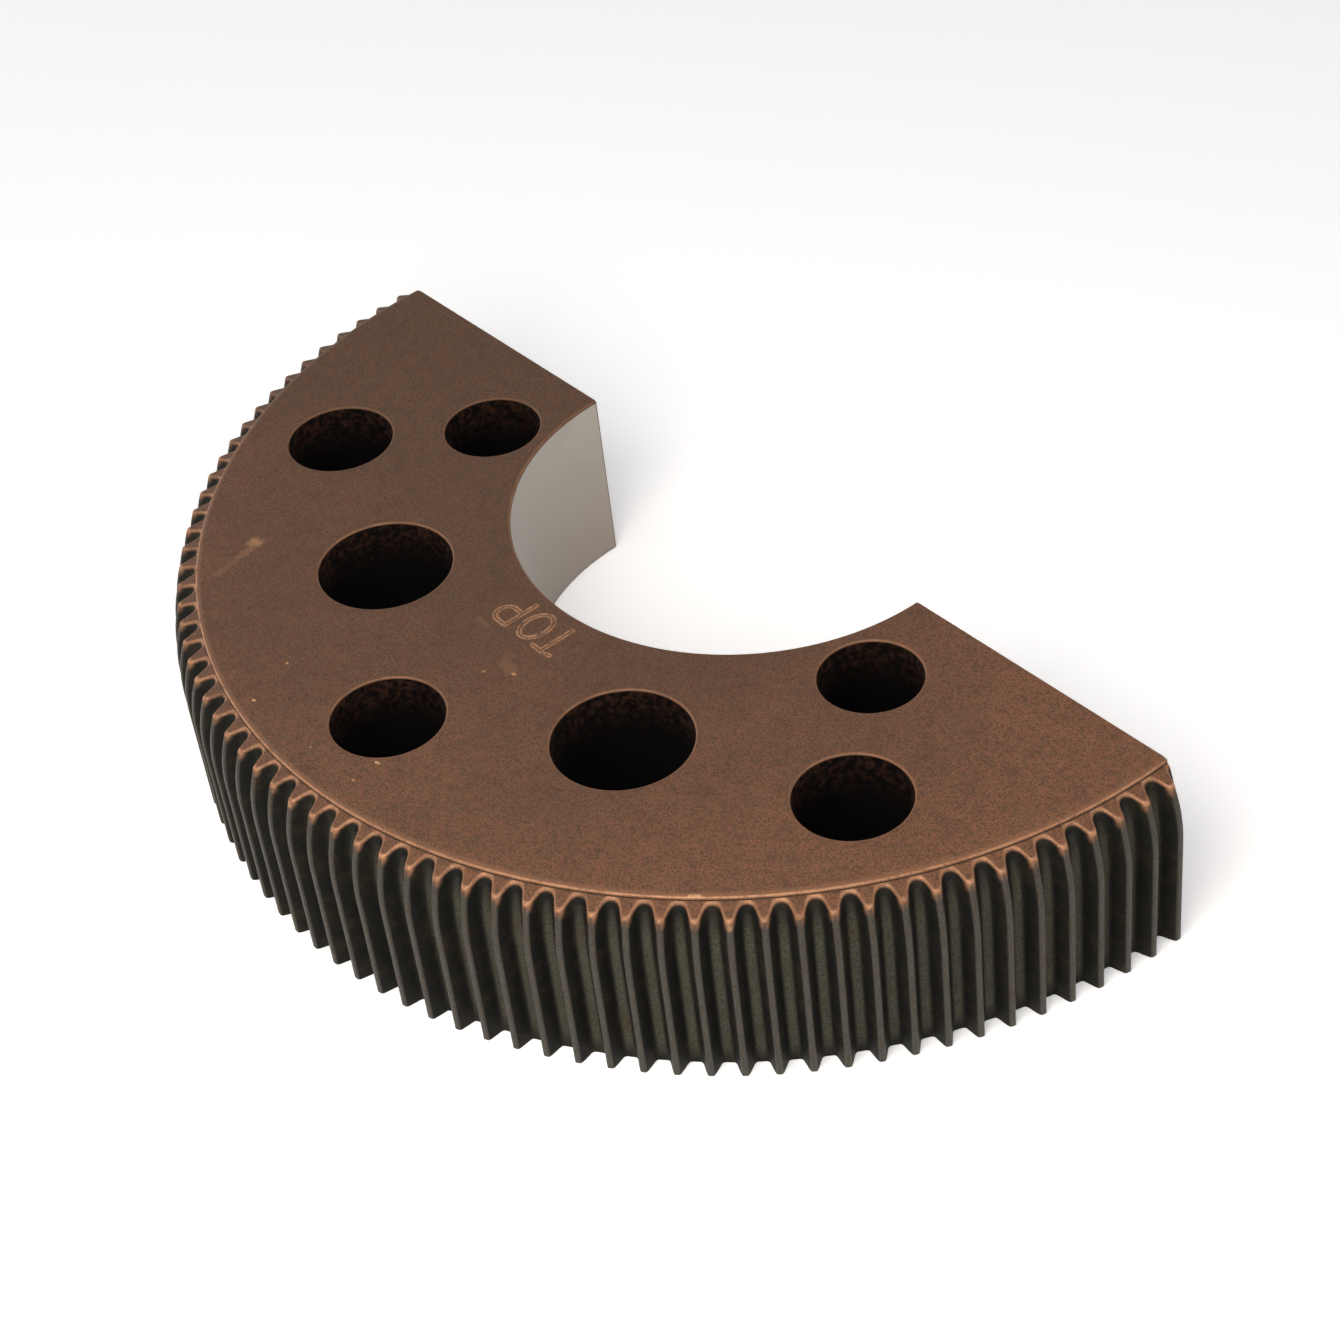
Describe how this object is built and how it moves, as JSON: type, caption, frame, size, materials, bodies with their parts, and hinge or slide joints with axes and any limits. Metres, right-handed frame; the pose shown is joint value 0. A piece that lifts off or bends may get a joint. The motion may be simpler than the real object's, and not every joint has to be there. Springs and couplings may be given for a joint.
{
  "type": "sector gear",
  "caption": "Half-ring spur gear with straight teeth around its outer rim, a half-round bore, flat end faces and plain through holes for bolting it down.",
  "frame": {"origin": "on the gear axis, at the lower end of the half-round bore, level with the underside", "axes": "+Z along the gear axis from the underside to the top face, -Y through the middle of the toothed arc, +X along the end faces, with the open side of the half ring towards +Y"},
  "size_m": [0.1838, 0.0919, 0.031],
  "materials": {
    "oxidised_steel": "fine brown oxide on machined steel, with bright copper-brown edges, darker tooth gaps and a lighter machined bore"
  },
  "bodies": {
    "root": {"sector_gear": "oxidised_steel"}
  },
  "joints": []
}
